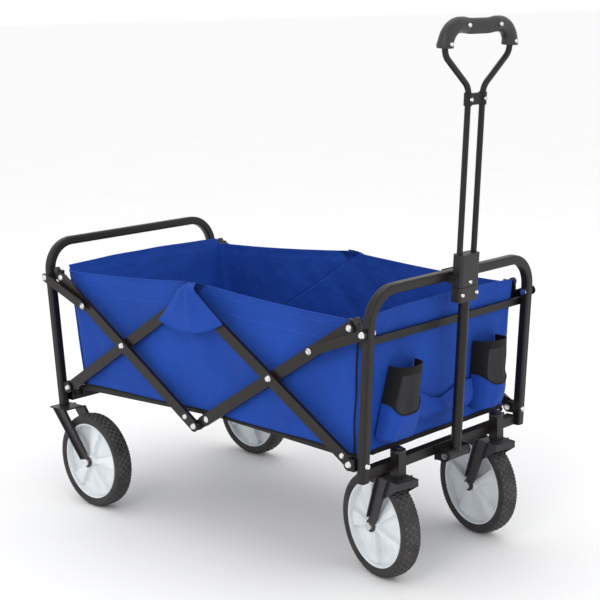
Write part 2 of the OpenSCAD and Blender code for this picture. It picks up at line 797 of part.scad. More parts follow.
rear_frame_tube();
rear_lower_crossbar();
rear_middle_crossbar();
rear_pivot_brackets();
rear_frame_bolts();
rear_forks();
rear_axles();
rear_bag_panel();
left_bag_panel();
right_bag_panel();
joint_flaps();
front_frame_tube();
front_lower_crossbar();
front_middle_crossbar();
front_pivot_brackets();
front_frame_bolts();
caster_housings();
caster_caps();
handle_clevis();
rail_clip();
front_bag_panel();
left_cup_pocket();
right_cup_pocket();
rear_lower_bars();
rear_cross_bolts();
rear_upper_bars();
rear_corner_clips();
rear_bar_bolts();
front_lower_bars();
front_cross_bolts();
front_upper_bars();
front_corner_clips();
bottom_knuckles();
front_bar_bolts();
rear_links();
front_links();
rear_floor_rods();
rear_floor_board();
front_floor_rods();
front_floor_board();
left_caster_fork();
left_caster_axle();
right_caster_fork();
right_caster_axle();
rear_left_wheel();
rear_left_tyre();
rear_right_wheel();
rear_right_tyre();
front_left_wheel();
front_left_tyre();
front_right_wheel();
front_right_tyre();
handle_lower_tube();
handle_guide_block();
handle_rods();
handle_slider_block();
handle_rod_clamp();
handle_grip();
handle_screws();
handle_guide_screw();
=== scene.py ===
import bpy
import bmesh
import json
import math
from mathutils import Matrix, Vector, noise


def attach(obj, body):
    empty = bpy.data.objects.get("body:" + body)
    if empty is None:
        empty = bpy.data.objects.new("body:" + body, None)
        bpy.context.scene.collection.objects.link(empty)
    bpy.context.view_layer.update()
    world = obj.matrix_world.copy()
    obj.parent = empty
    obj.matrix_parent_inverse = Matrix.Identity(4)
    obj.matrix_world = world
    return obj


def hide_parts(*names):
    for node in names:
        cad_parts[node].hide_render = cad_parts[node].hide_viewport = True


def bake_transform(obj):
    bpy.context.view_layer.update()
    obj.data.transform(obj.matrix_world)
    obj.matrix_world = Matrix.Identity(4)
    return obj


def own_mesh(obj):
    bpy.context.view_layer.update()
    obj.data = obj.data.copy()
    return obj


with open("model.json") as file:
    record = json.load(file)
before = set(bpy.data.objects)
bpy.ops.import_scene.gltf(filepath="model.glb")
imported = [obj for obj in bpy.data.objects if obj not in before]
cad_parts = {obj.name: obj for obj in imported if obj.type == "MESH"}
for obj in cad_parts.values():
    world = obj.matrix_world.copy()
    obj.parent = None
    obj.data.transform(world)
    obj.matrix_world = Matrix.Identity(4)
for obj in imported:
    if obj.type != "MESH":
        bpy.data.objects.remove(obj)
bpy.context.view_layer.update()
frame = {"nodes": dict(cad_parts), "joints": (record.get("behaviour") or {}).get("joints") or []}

MM = 0.001
joints = {j["name"]: j for j in frame["joints"]}
nodes = frame["nodes"]

# ---------- the scissor frame's measures, in millimetres from the top joints' plane ----------
X0 = joints["top_joint"]["pos_m"][0]


def joint_xz(name):
    p = joints[name]["pos_m"]
    return (p[0] - X0) / MM, p[2] / MM


LOW_X, LOW_Z = joint_xz("front_low")
CROSS_X, CROSS_Z = joint_xz("front_cross")
TOP_Z = joint_xz("top_joint")[1]
RISE = math.atan2(TOP_Z - LOW_Z, LOW_X)  # the scissor bars' slope
LINK_STUD = 132.0  # along a bar, from its crossing to the short link's stud
HANDLE_X, HANDLE_Z = joint_xz("handle_swing")
LEAN = math.radians(4)
LEG_X = LOW_X + 24.0
TUBE = 18.0
SIDE_Y = 221.0


def leg_at(z):
    """The front leg's centre line at a height."""
    return LEG_X + (z - LOW_Z) * math.tan(LEAN)


def P(x, y, z):
    return Vector((X0 + x * MM, y * MM, z * MM))


def H(x, y, z):
    """A point given along the pull handle, from its pivot."""
    c, s = math.cos(LEAN), math.sin(LEAN)
    return P(HANDLE_X + x * c + z * s, y, HANDLE_Z - x * s + z * c)


def lerp(a, b, t):
    return a + (b - a) * t


def smooth(t):
    t = min(1.0, max(0.0, t))
    return t * t * (3 - 2 * t)


# ---------- camera ----------
AZ, EL, ROLL = (math.radians(v) for v in (44.11, 11.52, -1.49))
back = Vector((math.sin(AZ) * math.cos(EL), -math.cos(AZ) * math.cos(EL), math.sin(EL)))
right = (-back).cross(Vector((0, 0, 1))).normalized()
up = right.cross(-back)
cam_r = right * math.cos(ROLL) + up * math.sin(ROLL)
cam_u = up * math.cos(ROLL) - right * math.sin(ROLL)
cam_data = bpy.data.cameras.new("camera")
cam = bpy.data.objects.new("camera", cam_data)
bpy.context.scene.collection.objects.link(cam)
cam.matrix_world = Matrix.Translation(P(3.3, 63.0, 437.3) + back * 2.8938) @ Matrix(
    (cam_r, cam_u, back)).transposed().to_4x4()
cam_data.sensor_width = 36
cam_data.lens = 83.86
cam_data.clip_end = 1000
bpy.context.scene.camera = cam


# ---------- materials ----------
class Nodes:
    """A small helper round one material's node tree."""

    def __init__(self, name):
        self.mat = bpy.data.materials.new(name)
        self.mat.use_nodes = True
        self.tree = self.mat.node_tree
        self.bsdf = self.tree.nodes["Principled BSDF"]
        self.coord = self.tree.nodes.new("ShaderNodeTexCoord").outputs["Object"]

    def add(self, kind, props=None, **inputs):
        n = self.tree.nodes.new(kind)
        for k, v in (props or {}).items():
            setattr(n, k, v)
        for k, v in inputs.items():
            self.put(n.inputs[k.replace("_", " ")], v)
        return n

    def put(self, socket, v):
        if isinstance(v, bpy.types.NodeSocket):
            self.tree.links.new(v, socket)
        else:
            socket.default_value = v

    def noise(self, scale, detail=3, rough=0.55):
        return self.add("ShaderNodeTexNoise", Vector=self.coord, Scale=scale, Detail=detail,
                        Roughness=rough).outputs["Fac"]

    def ramp(self, fac, a, b, lo=0.3, hi=0.7):
        n = self.add("ShaderNodeMapRange", Value=fac)
        n.inputs["From Min"].default_value = lo
        n.inputs["From Max"].default_value = hi
        n.inputs["To Min"].default_value = a
        n.inputs["To Max"].default_value = b
        return n.outputs["Result"]

    def mix(self, fac, a, b):
        n = self.add("ShaderNodeMix", {"data_type": "RGBA"})
        self.put(n.inputs[0], fac)
        self.put(n.inputs[6], a)
        self.put(n.inputs[7], b)
        return n.outputs[2]

    def math(self, op, a, b):
        n = self.add("ShaderNodeMath", {"operation": op})
        self.put(n.inputs[0], a)
        self.put(n.inputs[1], b)
        return n.outputs[0]

    def bump(self, height, distance, strength=1.0, under=None):
        n = self.add("ShaderNodeBump", Height=height, Distance=distance, Strength=strength)
        if under:
            self.put(n.inputs["Normal"], under)
        return n.outputs["Normal"]

    def bands(self, axis, scale):
        return self.add("ShaderNodeTexWave", {"wave_type": "BANDS", "bands_direction": axis},
                        Vector=self.coord, Scale=scale, Distortion=0.4).outputs["Fac"]

    def finish(self, **inputs):
        for k, v in inputs.items():
            self.put(self.bsdf.inputs[k.replace("_", " ")], v)
        return self.mat


def rgba(c, k=1.0):
    return (c[0] * k, c[1] * k, c[2] * k, 1.0)


def make_paint(name, base, rough=0.36):
    """Satin powder coat: orange peel and a faint dust."""
    m = Nodes(name)
    broad = m.noise(14, 4)
    peel = m.noise(900, 2)
    colour = m.mix(m.ramp(broad, 0, 1), rgba(base, 0.85), rgba(base, 1.25))
    m.bsdf.inputs["Specular IOR Level"].default_value = 0.3
    return m.finish(Base_Color=colour, Roughness=m.ramp(broad, rough - 0.05, rough + 0.07),
                    Normal=m.bump(peel, 0.00006, 0.5))


def make_zinc(name):
    m = Nodes(name)
    fine = m.noise(420, 3)
    colour = m.mix(m.ramp(fine, 0, 1), (0.62, 0.62, 0.63, 1), (0.86, 0.86, 0.87, 1))
    return m.finish(Base_Color=colour, Metallic=1.0, Roughness=m.ramp(fine, 0.16, 0.34),
                    Normal=m.bump(fine, 0.00008, 0.4))


def make_plastic(name, base, rough=0.5, grain=0.0001, grain_scale=1400):
    """Moulded plastic with a fine spark-eroded grain and a faint flow mottling."""
    m = Nodes(name)
    broad = m.noise(22, 3)
    fine = m.noise(grain_scale, 2)
    colour = m.mix(m.ramp(broad, 0, 1), rgba(base, 0.9), rgba(base, 1.1))
    return m.finish(Base_Color=colour, Roughness=m.ramp(broad, rough - 0.05, rough + 0.06),
                    Normal=m.bump(fine, grain, 0.5))


def make_rubber(name, base=(0.028, 0.025, 0.026)):
    m = Nodes(name)
    broad = m.noise(30, 4)
    fine = m.noise(1100, 3)
    colour = m.mix(m.ramp(broad, 0, 1), rgba(base, 0.6), rgba(base, 1.5))
    m.bsdf.inputs["Specular IOR Level"].default_value = 0.35
    return m.finish(Base_Color=colour, Roughness=m.ramp(broad, 0.5, 0.66),
                    Normal=m.bump(fine, 0.0001, 0.6))


def make_fabric(name, base, sheen=0.35, crinkle=0.0011, thread=250):
    """Plain-woven polyester: crossing threads, soft crinkles and faint tonal drift."""
    m = Nodes(name)
    warp = m.math("MAXIMUM", m.bands("X", thread), m.bands("Y", thread))
    weft = m.bands("Z", thread)
    weave = m.math("MULTIPLY", warp, weft)
    drift = m.noise(5, 4)
    soft = m.noise(19, 3, 0.5)
    slub = m.noise(330, 2)
    colour = m.mix(m.ramp(drift, 0, 1), rgba(base, 0.86), rgba(base, 1.14))
    colour = m.mix(m.math("MULTIPLY", weave, 0.16), colour, rgba(base, 0.45))
    colour = m.mix(m.ramp(slub, 0, 0.1, 0.55, 0.8), colour, rgba(base, 1.5))
    rough_normal = m.bump(soft, crinkle * 7, 0.55)
    m.bsdf.inputs["Sheen Weight"].default_value = sheen
    m.bsdf.inputs["Sheen Roughness"].default_value = 0.45
    m.bsdf.inputs["Specular IOR Level"].default_value = 0.2
    return m.finish(Base_Color=colour, Roughness=m.ramp(slub, 0.66, 0.8),
                    Normal=m.bump(weave, 0.00025, 0.55, rough_normal))


paint = make_paint("powder_coat", (0.011, 0.0088, 0.0082))
bar_paint = make_paint("bar_powder_coat", (0.012, 0.0088, 0.0078), 0.3)
dark_paint = make_paint("bracket_coat", (0.008, 0.007, 0.0075), 0.42)
fork_paint = make_paint("fork_coat", (0.030, 0.027, 0.031), 0.36)
zinc = make_zinc("zinc")
black_plastic = make_plastic("black_plastic", (0.009, 0.0085, 0.009), 0.46)
grip_plastic = make_plastic("grip_plastic", (0.020, 0.018, 0.019), 0.42, 0.00012)
wheel_plastic = make_plastic("wheel_plastic", (0.74, 0.775, 0.80), 0.32, 0.00003, 300)
rubber = make_rubber("tyre_rubber")
# lighter rubber for the deep tread grooves: a painted highlight that traces the tread's diamond net
groove_highlight_rubber = make_rubber("tyre_groove_painted_highlight", (0.085, 0.08, 0.082))
blue = make_fabric("blue_polyester", (0.008, 0.058, 0.36), 0.03, 0.0016)
navy = make_fabric("board_cover", (0.006, 0.016, 0.095), 0.06)
binding = make_fabric("black_binding", (0.006, 0.006, 0.007), 0.05, 0.0006, 420)
thread_mat = make_plastic("stitch_thread", (0.035, 0.14, 0.60), 0.6)
dark_thread = make_plastic("dark_thread", (0.010, 0.012, 0.03), 0.6)
mesh_cord = make_plastic("mesh_cord", (0.010, 0.010, 0.014), 0.55)


# ---------- mesh helpers ----------
def new_object(name, verts, faces, mat, smooth_angle=40):
    mesh = bpy.data.meshes.new(name)
    mesh.from_pydata([tuple(v) for v in verts], [], faces)
    mesh.validate()
    bm = bmesh.new()
    bm.from_mesh(mesh)
    bmesh.ops.recalc_face_normals(bm, faces=bm.faces)
    bm.to_mesh(mesh)
    bm.free()
    mesh.materials.append(mat)
    shade(mesh, smooth_angle)
    o = bpy.data.objects.new(name, mesh)
    bpy.context.scene.collection.objects.link(o)
    return o


def shade(mesh, angle):
    mesh.polygons.foreach_set("use_smooth", [True] * len(mesh.polygons))
    bm = bmesh.new()
    bm.from_mesh(mesh)
    limit = math.radians(angle)
    for e in bm.edges:
        if len(e.link_faces) == 2 and e.calc_face_angle(0) > limit:
            e.smooth = False
    bm.to_mesh(mesh)
    bm.free()


def grid(nu, nv, fn, loop_u=False, loop_v=False):
    """Points fn(u, v) on a grid with u, v from 0 to 1, and its quads."""
    du = nu if loop_u else nu - 1
    dv = nv if loop_v else nv - 1
    verts = [fn(i / du, j / dv) for i in range(nu) for j in range(nv)]
    faces = []
    for i in range(du):
        for j in range(dv):
            a, b = i * nv + j, i * nv + (j + 1) % nv
            c, d = ((i + 1) % nu) * nv + (j + 1) % nv, ((i + 1) % nu) * nv + j
            faces.append((a, b, c, d))
    return verts, faces


def cloth(name, verts, faces, mat, thick=1.3):
    """A sheet given its thickness, with the given points on its outer side."""
    mesh = bpy.data.meshes.new(name)
    mesh.from_pydata([tuple(v) for v in verts], [], faces)
    bm = bmesh.new()
    bm.from_mesh(mesh)
    bmesh.ops.remove_doubles(bm, verts=bm.verts, dist=1e-5)
    bmesh.ops.recalc_face_normals(bm, faces=bm.faces)
    bmesh.ops.solidify(bm, geom=bm.faces[:], thickness=thick * MM)
    bmesh.ops.recalc_face_normals(bm, faces=bm.faces)
    bm.to_mesh(mesh)
    bm.free()
    mesh.materials.append(mat)
    shade(mesh, 50)
    o = bpy.data.objects.new(name, mesh)
    bpy.context.scene.collection.objects.link(o)
    return o


def sweep(name, path, ring, mat, closed=False, up_hint=(0, 0, 1), angle=40):
    """A closed tube: ring(i) gives the section's points at path point i."""
    n = len(path)
    verts, faces = [], []
    size = None
    hint = Vector(up_hint)
    for i, p in enumerate(path):
        a = path[(i - 1) % n if closed else max(i - 1, 0)]
        b = path[(i + 1) % n if closed else min(i + 1, n - 1)]
        d = (b - a).normalized()
        side = d.cross(hint)
        if side.length < 1e-3:
            side = d.cross(Vector((1, 0, 0)))
        side.normalize()
        normal = side.cross(d)
        section = ring(i)
        size = len(section)
        verts += [p + side * (s * MM) + normal * (t * MM) for s, t in section]
    for i in range(n if closed else n - 1):
        for k in range(size):
            a, b = i * size + k, i * size + (k + 1) % size
            c, d = ((i + 1) % n) * size + (k + 1) % size, ((i + 1) % n) * size + k
            faces.append((a, b, c, d))
    if not closed:
        faces.append(tuple(range(size)))
        faces.append(tuple(reversed(range((n - 1) * size, n * size))))
    return new_object(name, verts, faces, mat, angle)


def circle(r, count=14, flat=1.0):
    return [(r * math.cos(2 * math.pi * k / count), r * flat * math.sin(2 * math.pi * k / count))
            for k in range(count)]


def tube(name, path, r, mat, count=10):
    return sweep(name, path, lambda i: circle(r, count), mat)


def join(name, objects):
    """Joins objects into one piece, keeping their materials."""
    bm = bmesh.new()
    mats = []
    for o in objects:
        start = len(bm.faces)
        bm.from_mesh(o.data)
        bm.faces.ensure_lookup_table()
        for m in o.data.materials:
            if m not in mats:
                mats.append(m)
        for f in bm.faces[start:]:
            f.material_index = mats.index(o.data.materials[f.material_index])
    mesh = bpy.data.meshes.new(name)
    bm.to_mesh(mesh)
    bm.free()
    for m in mats:
        mesh.materials.append(m)
    for o in objects:
        old = o.data
        bpy.data.objects.remove(o)
        bpy.data.meshes.remove(old)
    made = bpy.data.objects.new(name, mesh)
    bpy.context.scene.collection.objects.link(made)
    return made


def stitches(name, path, mat, outward, pitch=4.4, length=3.0, r=0.42):
    """A row of raised stitches along a path."""
    verts, faces = [], []
    outward = Vector(outward).normalized()
    carry = 0.0
    for a, b in zip(path, path[1:]):
        d = (b - a)
        run = d.length / MM
        if run < 1e-6:
            continue
        d.normalize()
        side = d.cross(outward).normalized()
        s = carry
        while s + length <= run:
            base = len(verts)
            for along, k in ((0, 0.4), (0.25, 1), (0.75, 1), (1, 0.4)):
                c = a + d * ((s + along * length) * MM)
                for w, h in ((-1, 0), (-0.7, 0.8), (0.7, 0.8), (1, 0)):
                    verts.append(c + side * (w * r * k * MM) + outward * (h * r * k * 1.5 * MM))
            for i in range(3):
                for j in range(4):
                    p, q = base + i * 4 + j, base + i * 4 + (j + 1) % 4
                    faces.append((p, q, q + 4, p + 4))
            faces.append((base, base + 1, base + 2, base + 3))
            faces.append((base + 15, base + 14, base + 13, base + 12))
            s += pitch
        carry = max(0.0, s - run)
    return new_object(name, verts, faces, mat, 60)


# ---------- the frame's own solids keep their shape and take a finish ----------
FINISH = {
    paint: ["rear_frame_tube", "rear_lower_crossbar", "front_frame_tube", "front_lower_crossbar",
            "caster_housings", "handle_lower_tube"],
    bar_paint: ["rear_lower_bars", "front_lower_bars", "rear_upper_bars", "front_upper_bars",
                "rear_links", "front_links"],
    dark_paint: ["rear_middle_crossbar", "front_middle_crossbar", "rear_pivot_brackets",
                 "front_pivot_brackets", "handle_clevis", "rear_floor_rods", "front_floor_rods",
                 "handle_rod_clamp"],
    fork_paint: ["rear_forks", "left_caster_fork", "right_caster_fork"],
    zinc: ["rear_frame_bolts", "front_frame_bolts", "rear_cross_bolts", "front_cross_bolts",
           "rear_bar_bolts", "front_bar_bolts", "rear_axles", "left_caster_axle",
           "right_caster_axle", "handle_screws", "handle_guide_screw"],
    black_plastic: ["rear_corner_clips", "front_corner_clips", "bottom_knuckles", "caster_caps",
                    "rail_clip", "handle_guide_block", "handle_slider_block"],
}
BEVEL = {"rear_frame_tube": 0.5, "front_frame_tube": 0.5, "caster_caps": 1.0,
         "rear_forks": 0.9, "left_caster_fork": 0.9, "right_caster_fork": 0.9}
for finish, names in FINISH.items():
    for n in names:
        o = nodes[n]
        if not o.data.materials:
            o.data.materials.append(finish)
        for slot in o.material_slots:
            slot.material = finish
        bevel = o.modifiers.new("soft_edges", "BEVEL")
        bevel.width = BEVEL.get(n, 0.7) * MM
        bevel.segments = 2
        bevel.limit_method = "ANGLE"
        bevel.angle_limit = math.radians(38)
        bevel.harden_normals = False
        bevel.use_clamp_overlap = True


def make_studs(which, sign_x):
    """Zinc heads over the short links' lower studs."""
    low = P(sign_x * (CROSS_X + LINK_STUD * math.cos(RISE)), 0, CROSS_Z + LINK_STUD * math.sin(RISE))
    verts, faces = [], []
    for side in (-1, 1):
        base = len(verts)
        profile = [(6.5, 249.4), (6.3, 250.6), (5.2, 252.0), (3.0, 252.8), (0.3, 253.0)]
        for r, y in profile:
            for k in range(20):
                a = 2 * math.pi * k / 20
                verts.append(Vector((low.x + r * math.cos(a) * MM, side * y * MM,
                                     low.z + r * math.sin(a) * MM)))
        for i in range(len(profile) - 1):
            for k in range(20):
                q = base + i * 20
                faces.append((q + k, q + (k + 1) % 20, q + 20 + (k + 1) % 20, q + 20 + k))
        faces.append(tuple(base + k for k in range(20)))
        faces.append(tuple(base + (len(profile) - 1) * 20 + k for k in range(20)))
    o = new_object(f"{which}_link_studs", verts, faces, zinc, 50)
    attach(o, f"{which}_links")


make_studs("rear", -1)
make_studs("front", 1)


# ---------- wheels ----------
WHEEL_R = 100.0
TREAD_COUNT = 46
TREAD_FOOT_R, TREAD_HALF, GROOVE_FLOOR = 93.0, 16.5, 1.1
SPOKES = 5
WHEEL_TURNS = (31, 11, 63, 47)


def tyre_section():
    """(radius, y, tread weight) points round the tyre's section."""
    side = [(81.0, 16.2, 0), (82.6, 17.6, 0), (84.6, 18.5, 0), (85.4, 18.2, 0), (86.2, 18.7, 0),
            (88.6, 19.0, 0), (89.2, 18.5, 0), (90.2, 18.9, 0), (92.4, 18.7, 0), (94.6, 18.2, 0.3)]
    tread = []
    steps = 22
    for k in range(steps + 1):
        y = 17.4 * (1 - 2 * k / steps)
        crown = WHEEL_R - 0.1 - 3.4 * abs(y / 17.4) ** 3.2
        tread.append((crown, y, 1))
    other = [(r, -y, w) for r, y, w in reversed(side)]
    inner = [(80.9, -12, 0), (80.9, 0, 0), (80.9, 12, 0)]
    return side + tread + other + inner


def groove(theta, y):
    """Depth of the crossed grooves of the tread at a point."""
    along = theta / (2 * math.pi) * TREAD_COUNT
    across = y / (2 * math.pi * WHEEL_R / TREAD_COUNT) * 0.95
    depth = 0.0
    for s in (-1, 1):
        f = (along + s * across) % 1.0
        depth = max(depth, 1 - smooth(abs(f - 0.5) / 0.19))
    lug = (along * 2 + 0.25) % 1.0
    edge = smooth((abs(y) - 13.5) / 2.5) * (1 - smooth(abs(lug - 0.5) / 0.22))
    return max(depth * 2.3 * (1 - smooth((abs(y) - 15.5) / 1.6)), edge * 2.4)


def make_tyre_mesh():
    section = tyre_section()
    count = TREAD_COUNT * 11

    def point(u, v):
        i = min(len(section) - 1, int(round(v * len(section))))
        r, y, w = section[i % len(section)]
        a = 2 * math.pi * u
        r -= w * groove(a, y)
        return Vector((r * math.cos(a) * MM, y * MM, r * math.sin(a) * MM))
    verts, faces = grid(count, len(section), point, True, True)
    return verts, faces


def make_wheel_mesh():
    """Light moulded centre: hub, five flared spokes standing over a recessed web, and rim."""
    radii = [13.4] + [13.4 + (76.4 - 13.4) * k / 17 for k in range(1, 18)]

    def height(r, a):
        t = (r - 13) / (77 - 13)
        best = 0.0
        for k in range(SPOKES):
            d = (a - 2 * math.pi * k / SPOKES - math.pi / 2 + math.pi) % (2 * math.pi) - math.pi
            off = abs(math.sin(d)) * r if math.cos(d) > 0 else 1e9
            half = lerp(4.5, 17.0, t ** 1.3)
            ridge = 2.6 * t * (1 - min(1.0, off / half))
            best = max(best, (1 - smooth((off - half) / 1.7)) * (1 + 0.1 * ridge))
        spoke = lerp(16.0, 9.5, smooth(t))
        web = lerp(7.5, 0.8, smooth(t * 1.5)) + 2.0 * smooth((t - 0.82) / 0.16)
        return lerp(web, spoke, best)
    count = 180
    side = [("hub", 4.6, 20.0), ("hub", 10.5, 20.0), ("hub", 12.2, 19.2)]
    side += [("face", r, 0) for r in radii]
    side += [("rim", 77.0, 4.0), ("rim", 77.2, 14.0), ("rim", 77.8, 16.4), ("rim", 79.2, 17.2),
             ("rim", 80.6, 16.8), ("rim", 81.0, 15.0)]
    loop = [(k, r, y, 1) for k, r, y in side] + [(k, r, y, -1) for k, r, y in reversed(side)]

    def point(u, v):
        kind, r, y, s = loop[int(round(v * len(loop))) % len(loop)]
        a = 2 * math.pi * u
        if kind == "face":
            y = height(r, a)
        return Vector((r * math.cos(a) * MM, s * y * MM, r * math.sin(a) * MM))
    return grid(count, len(loop), point, True, True)


tyre_verts, tyre_faces = make_tyre_mesh()
wheel_verts, wheel_faces = make_wheel_mesh()
tyre_proto = new_object("tyre_proto", tyre_verts, tyre_faces, rubber, 32)
tyre_proto.data.materials.append(groove_highlight_rubber)
# faces deep in the tread grooves take the lighter rubber, a painted highlight along the diamond net
for f in tyre_proto.data.polygons:
    c = f.center / MM
    deep = groove(math.atan2(c.z, c.x), c.y) > GROOVE_FLOOR
    if deep and math.hypot(c.x, c.z) > TREAD_FOOT_R and abs(c.y) < TREAD_HALF:
        f.material_index = 1
wheel_proto = new_object("wheel_proto", wheel_verts, wheel_faces, wheel_plastic, 36)
for i, which in enumerate(("rear_left", "rear_right", "front_left", "front_right")):
    centre = Vector(joints[which + "_spin"]["pos_m"])
    axis = joints[which + "_spin"]["axis"]
    heading = Matrix.Rotation(math.atan2(-axis[0], axis[1]), 4, "Z")
    for proto, part, slot_name in ((tyre_proto, "tyre", "tyre"), (wheel_proto, "wheel", "wheel")):
        o = bpy.data.objects.new(f"{which}_{part}_detail", proto.data.copy())
        bpy.context.scene.collection.objects.link(o)
        o.data.transform(heading @ Matrix.Rotation(math.radians(WHEEL_TURNS[i]), 4, "Y"))
        o.location = centre
        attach(o, which + "_wheel")
        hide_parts(f"{which}_{part}")
bpy.data.objects.remove(tyre_proto)
bpy.data.objects.remove(wheel_proto)


# ---------- pull handle ----------
ROD_Y, ROD_R = 20.5, 5.5
GRIP_Y, GRIP_RISE, GRIP_BEND = 92.0, 778.0, 36.0
GRIP_LOW = GRIP_RISE - GRIP_BEND - 1.5
LOOP_LOW = 671.0
LOOP_HIGH = GRIP_LOW - 12


def rounded_path(corners, radii, step=math.radians(7)):
    """A polyline in the handle's (y, z) plane with its corners rounded."""
    out = [Vector(corners[0])]
    for a, c, b, r in zip(corners, corners[1:], corners[2:], radii):
        a, c, b = Vector(a), Vector(c), Vector(b)
        d1, d2 = (c - a).normalized(), (b - c).normalized()
        turn = d1.angle(d2)
        if turn < 1e-6:
            continue
        cut = r * math.tan(turn / 2)
        start = c - d1 * cut
        n = max(3, int(turn / step) + 1)
        for k in range(n + 1):
            t = k / n
            # a circular arc by rotating the start direction
            ang = turn * t
            chord = 2 * r * math.sin(ang / 2)
            sign = 1 if d1.x * d2.y - d1.y * d2.x > 0 else -1
            rot = Matrix.Rotation(sign * ang / 2, 2)
            out.append(start + (rot @ d1) * chord)
    out.append(Vector(corners[-1]))
    return out


def densify(path, step):
    out = [path[0]]
    for a, b in zip(path, path[1:]):
        n = max(1, int((b - a).length / step))
        for k in range(1, n + 1):
            out.append(a.lerp(b, k / n))
    return out


half_loop = [(ROD_Y, 296), (ROD_Y, LOOP_LOW), (GRIP_Y, LOOP_HIGH), (GRIP_Y, GRIP_RISE)]
corners = [(-y, z) for y, z in half_loop] + list(reversed(half_loop))
rod_path = densify(rounded_path(corners, [28, 26, GRIP_BEND, GRIP_BEND, 26, 28]), 16)
rod_points = [H(0, p.x, p.y) for p in rod_path]
rods = sweep("sliding_rods", rod_points, lambda i: circle(ROD_R, 18), paint,
             up_hint=(math.cos(LEAN), 0, -math.sin(LEAN)))
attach(rods, "handle_upper")
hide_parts("handle_rods")

grip_corners = [(-GRIP_Y, GRIP_LOW), (-GRIP_Y, GRIP_RISE), (GRIP_Y, GRIP_RISE), (GRIP_Y, GRIP_LOW)]
grip_flat = densify(rounded_path(grip_corners, [GRIP_BEND, GRIP_BEND], math.radians(5)), 0.9)
grip_points = [H(0, p.x, p.y - 2.2 * (1 - smooth((abs(p.x) - 20) / 30)) * smooth((p.y - 770) / 6))
               for p in grip_flat]


def grip_ring(i):
    y, z = grip_flat[i]
    mid = 1 - smooth((abs(y) - 38) / 5)
    end = min(i, len(grip_flat) - 1 - i)
    r = lerp(13.9, 12.5, mid)
    r += 1.5 * (1 - smooth((z - GRIP_LOW - 1) / 12))
    ribs = 0.9 * smooth((38 - abs(y)) / 1.5) * (0.5 + 0.5 * math.cos(2 * math.pi * y / 5.0))
    r += ribs
    if end < 3:
        r -= (3 - end) * 0.45
    pts = []
    for k in range(28):
        a = 2 * math.pi * k / 28
        s, n = math.cos(a), math.sin(a)
        seam = 0.45 if abs(s) < 0.07 else 0
        swell = 1 + 0.05 * mid * (1 if s > 0 else 0)
        pts.append(((r - seam) * s * swell, (r - seam) * n))
    return pts


grip = sweep("grip_shell", grip_points, grip_ring, grip_plastic,
             up_hint=(math.cos(LEAN), 0, -math.sin(LEAN)), angle=50)
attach(grip, "handle_upper")
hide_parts("handle_grip")


# ---------- bag ----------
REAR_LOW, REAR_HIGH = -378.0, -410.0
FRONT_LOW, FRONT_HIGH = 399.0, 415.0
BAG_LOW, BAG_CORNER, BAG_APEX = 254.0, 497.0, 518.0


def top_at(x):
    t = min(1.0, abs(x) / 412)
    return BAG_CORNER + (BAG_APEX - BAG_CORNER) * (1 - t) ** 1.2 - 2.5 * math.sin(math.pi * t)


def bottom_at(x):
    t = min(1.0, abs(x) / 400)
    return BAG_LOW + 12 * (1 - t) - 1.5 * math.sin(2 * math.pi * t)


def wrinkle(x, z, seed):
    """Soft folds of slack polyester, in millimetres."""
    p = Vector((x * 0.011, z * 0.004, seed))
    q = Vector((x * 0.018 + z * 0.014, z * 0.006 - x * 0.004, seed + 5))
    return 6.5 * noise.noise(p) + 3.4 * noise.noise(q) - 2.2


def side_y(x, z):
    """How far out the side fabric stands, before the hem."""
    lo, hi = bottom_at(x), top_at(x)
    v = min(1.0, max(0.0, (z - lo) / (hi - lo)))
    belly = math.sin(math.pi * v) ** 0.8
    pull = 1.6 * math.sin(x / 26.0 + z / 60.0) * smooth((v - 0.75) / 0.25) * smooth((110 - abs(x)) / 80)
    y = SIDE_Y - 2.2 + 1.6 * belly + (wrinkle(x, z, 2.0) * 0.8 + pull) * (0.25 + 0.75 * belly)
    return min(224.0, y)


def hem_step(z, x, deep=17.0, height=0.9):
    return height * smooth((z - (top_at(x) - deep)) / 1.6)


def corner_y(z):
    """Half the front panel's width, narrower below the rim."""
    return lerp(191, 205, smooth((z - 390) / 100))


def side_point(u, v, sign):
    """The side sheet, from its rear edge forward and round inside the front leg."""
    straight = 0.93
    z_ref = lerp(BAG_LOW, BAG_CORNER, v)
    x_r = lerp(REAR_LOW, REAR_HIGH, v)
    x_f = lerp(FRONT_LOW, FRONT_HIGH, v) - 6
    if u <= straight:
        x = lerp(x_r, x_f, u / straight)
        z = lerp(bottom_at(x), top_at(x), v)
        y = side_y(x, z) + hem_step(z, x)
        rear = smooth((x - x_r) / 26)
        y -= (1 - rear) * 7
        return P(x, sign * y, z)
    t = (u - straight) / (1 - straight)
    z = lerp(bottom_at(x_f), top_at(x_f) + 9 * smooth(t), v)
    end_x, end_y = leg_at(z) - TUBE / 2 - 9.5, corner_y(z) - 2
    y0 = side_y(x_f, z) + hem_step(z, x_f)
    pucker = 1.6 * math.sin(z_ref / 15.0) * math.sin(math.pi * t)
    x = lerp(x_f, end_x, smooth(t) * 0.35 + 0.65 * math.sin(t * math.pi / 2))
    y = lerp(y0, end_y, t ** 2.2) + pucker
    return P(x, sign * y, z)


def cut(o, px, pz, dx, dz, keep_left):
    """Keeps what lies on one side of a line drawn on the wagon's side."""
    bm = bmesh.new()
    bm.from_mesh(o.data)
    normal = Vector((-dz, 0, dx)) if keep_left else Vector((dz, 0, -dx))
    bmesh.ops.bisect_plane(bm, geom=bm.verts[:] + bm.edges[:] + bm.faces[:], plane_co=P(px, 0, pz),
                           plane_no=normal, clear_inner=True, clear_outer=False)
    made = bmesh.ops.holes_fill(bm, edges=[e for e in bm.edges if e.is_boundary], sides=0)
    bmesh.ops.triangulate(bm, faces=[f for f in made["faces"] if f.is_valid and len(f.verts) > 4])
    bm.to_mesh(o.data)
    bm.free()


def copy_of(o, name):
    c = bpy.data.objects.new(name, o.data.copy())
    bpy.context.scene.collection.objects.link(c)
    return c


